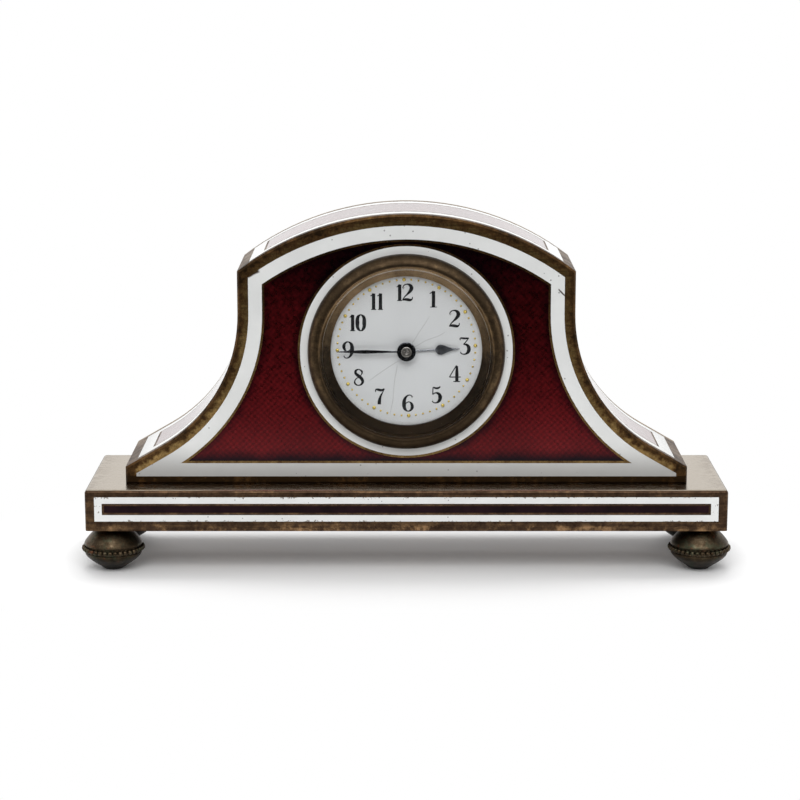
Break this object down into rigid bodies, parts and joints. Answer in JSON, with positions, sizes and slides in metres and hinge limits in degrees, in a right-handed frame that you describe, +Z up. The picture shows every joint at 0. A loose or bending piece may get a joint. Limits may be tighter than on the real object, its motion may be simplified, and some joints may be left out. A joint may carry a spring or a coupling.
{
  "type": "table timepiece",
  "caption": "Small enamelled brass table timepiece: crowned arch case with swept flanks on a plinth with beaded bun feet, round white dial, key-wound movement.",
  "frame": {"origin": "on the floor, under the middle of the plinth", "axes": "+X to the right of someone facing the dial, +Y to the back, +Z up"},
  "size_m": [0.1132, 0.0304, 0.0618],
  "materials": {
    "case_brass": "satin",
    "white_enamel": "gloss",
    "red_enamel": "gloss",
    "aubergine_enamel": "gloss",
    "dial_enamel": "gloss",
    "clear_glass": "polished",
    "movement_brass": "satin",
    "steel": "satin",
    "blued_steel": "polished",
    "ruby": "polished"
  },
  "bodies": {
    "case": {"base_plinth": "case_brass", "base_bottom_plate": "case_brass", "base_white_enamel": "white_enamel", "base_red_enamel": "aubergine_enamel", "case_fixing_screws": "steel", "case_front_plate": "case_brass", "front_white_enamel": "white_enamel", "front_red_enamel": "red_enamel", "dial_ring_enamel": "white_enamel", "case_pillars": "case_brass", "crown_plate": "case_brass", "left_flank_plate": "case_brass", "right_flank_plate": "case_brass", "band_white_enamel": "white_enamel", "band_red_enamel": "red_enamel", "back_plate": "case_brass", "back_screws": "steel", "hinge_pin": "steel", "bezel": "case_brass", "glass": "clear_glass", "dial": "dial_enamel", "spacer_ring": "movement_brass", "main_plate": "movement_brass", "barrel_bridge": "movement_brass", "train_bridge": "movement_brass", "balance_cock": "movement_brass", "pallet_cock": "movement_brass", "bridge_screws": "steel", "movement_clamps": "movement_brass", "clamp_screws": "steel", "click_spring": "steel", "hairspring": "blued_steel", "foot_front_left": "case_brass", "foot_front_right": "case_brass", "foot_back_left": "case_brass", "foot_back_right": "case_brass"},
    "hand_setting": {"minute_hand": "blued_steel", "setting_arbor": "steel", "setting_knob": "movement_brass"},
    "hour": {"hour_hand": "blued_steel", "hour_wheel": "movement_brass"},
    "minute_work": {"minute_wheel": "movement_brass"},
    "barrel": {"barrel_drum": "movement_brass", "barrel_cover": "movement_brass", "mainspring": "steel"},
    "winding": {"barrel_arbor": "steel", "ratchet_wheel": "steel", "winding_key": "movement_brass"},
    "click": {"click": "steel"},
    "centre": {"centre_wheel": "movement_brass"},
    "third": {"third_wheel": "movement_brass"},
    "fourth": {"fourth_wheel": "movement_brass"},
    "escape": {"escape_wheel": "steel"},
    "pallet": {"pallet_lever": "steel", "pallet_stones": "ruby"},
    "balance": {"balance_wheel": "movement_brass", "balance_staff": "steel"},
    "regulator": {"regulator": "steel"},
    "door": {"back_door": "case_brass"}
  },
  "joints": [
    {"name": "hand_setting_turn", "type": "hinge", "parent": "case", "child": "hand_setting", "pos_m": [0, 0, 0.0381], "axis": [0, 1, 0], "continuous": true},
    {"name": "hour_turn", "type": "hinge", "parent": "case", "child": "hour", "pos_m": [0, 0, 0.0381], "axis": [0, 1, 0], "continuous": true},
    {"name": "minute_work_turn", "type": "hinge", "parent": "case", "child": "minute_work", "pos_m": [0.00168, 0, 0.04101], "axis": [0, 1, 0], "continuous": true},
    {"name": "third_turn", "type": "hinge", "parent": "case", "child": "third", "pos_m": [0.00487, 0, 0.03724], "axis": [0, 1, 0], "continuous": true},
    {"name": "centre_turn", "type": "hinge", "parent": "case", "child": "centre", "pos_m": [0, 0, 0.0381], "axis": [0, 1, 0], "continuous": true},
    {"name": "barrel_turn", "type": "hinge", "parent": "case", "child": "barrel", "pos_m": [-0.00337, 0, 0.04395], "axis": [0, 1, 0], "continuous": true},
    {"name": "fourth_turn", "type": "hinge", "parent": "case", "child": "fourth", "pos_m": [0.00562, 0, 0.03303], "axis": [0, 1, 0], "continuous": true},
    {"name": "escape_turn", "type": "hinge", "parent": "case", "child": "escape", "pos_m": [0.00192, 0, 0.03204], "axis": [0, 1, 0], "continuous": true},
    {"name": "winding_turn", "type": "hinge", "parent": "case", "child": "winding", "pos_m": [-0.00337, 0, 0.04395], "axis": [0, 1, 0], "continuous": true},
    {"name": "click_lift", "type": "hinge", "parent": "case", "child": "click", "pos_m": [-0.00705, 0, 0.04703], "axis": [0, -1, 0], "range_deg": [0, 10]},
    {"name": "pallet_rock", "type": "hinge", "parent": "case", "child": "pallet", "pos_m": [-0.00054, 0, 0.03032], "axis": [0, 1, 0], "range_deg": [-5, 5]},
    {"name": "balance_swing", "type": "hinge", "parent": "case", "child": "balance", "pos_m": [-0.00392, 0, 0.03061], "axis": [0, 1, 0], "range_deg": [-270, 270], "stiffness_Nm_per_rad": 0.0000014},
    {"name": "regulator_turn", "type": "hinge", "parent": "case", "child": "regulator", "pos_m": [-0.00392, 0, 0.03061], "axis": [0, 1, 0], "range_deg": [-20, 20]},
    {"name": "door_hinge", "type": "hinge", "parent": "case", "child": "door", "pos_m": [-0.0144, 0.01305, 0.0381], "axis": [0, 0, 1], "range_deg": [0, 115]}
  ],
  "couplings": [
    {"joint": "hour_turn", "follows": "hand_setting_turn", "ratio": 0.083333},
    {"joint": "minute_work_turn", "follows": "hand_setting_turn", "ratio": -0.33333},
    {"joint": "centre_turn", "follows": "third_turn", "ratio": -0.125},
    {"joint": "barrel_turn", "follows": "third_turn", "ratio": 0.015625},
    {"joint": "fourth_turn", "follows": "third_turn", "ratio": -8},
    {"joint": "escape_turn", "follows": "third_turn", "ratio": 60}
  ]
}
